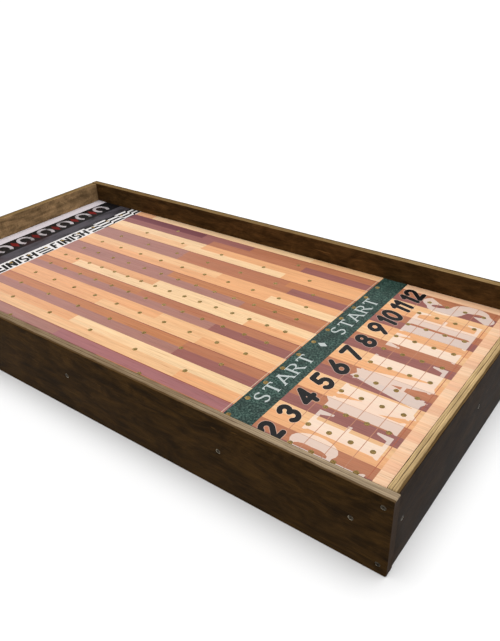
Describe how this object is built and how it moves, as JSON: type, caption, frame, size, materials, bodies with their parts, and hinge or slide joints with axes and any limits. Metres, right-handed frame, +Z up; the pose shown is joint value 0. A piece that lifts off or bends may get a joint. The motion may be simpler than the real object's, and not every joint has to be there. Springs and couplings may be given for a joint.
{
  "type": "horse-race peg board",
  "caption": "Deep plywood tray holding a printed, drilled playing field with numbered lanes for pegs.",
  "frame": {"origin": "middle of the underside, on the plane that the four boards stand on", "axes": "+X along the lanes from the finish end to the scratch end, +Y across the lanes from lane 2 to lane 12, +Z up out of the tray"},
  "size_m": [1.2592, 0.6456, 0.1397],
  "materials": {
    "stained_plywood": "dark stained plywood boards with bare ply edges on top, satin",
    "bare_plywood": "unfinished plywood panel, matt",
    "printed_face": "thin board with a printed satin face",
    "screw_steel": "dull zinc wood screws"
  },
  "bodies": {
    "root": {"corner_screw_far_finish_lower": "screw_steel", "corner_screw_far_finish_upper": "screw_steel", "corner_screw_far_scratch_lower": "screw_steel", "corner_screw_far_scratch_upper": "screw_steel", "corner_screw_near_finish_lower": "screw_steel", "corner_screw_near_finish_upper": "screw_steel", "corner_screw_near_scratch_lower": "screw_steel", "corner_screw_near_scratch_upper": "screw_steel", "end_screw_finish_1": "screw_steel", "end_screw_finish_2": "screw_steel", "end_screw_finish_3": "screw_steel", "end_screw_scratch_1": "screw_steel", "end_screw_scratch_2": "screw_steel", "end_screw_scratch_3": "screw_steel", "far_side_board": "stained_plywood", "finish_end_board": "stained_plywood", "near_side_board": "stained_plywood", "playing_panel": "bare_plywood", "printed_face_sheet": "printed_face", "scratch_end_board": "stained_plywood", "side_screw_far_1": "screw_steel", "side_screw_far_2": "screw_steel", "side_screw_far_3": "screw_steel", "side_screw_far_4": "screw_steel", "side_screw_far_5": "screw_steel", "side_screw_near_1": "screw_steel", "side_screw_near_2": "screw_steel", "side_screw_near_3": "screw_steel", "side_screw_near_4": "screw_steel", "side_screw_near_5": "screw_steel"}
  },
  "joints": []
}
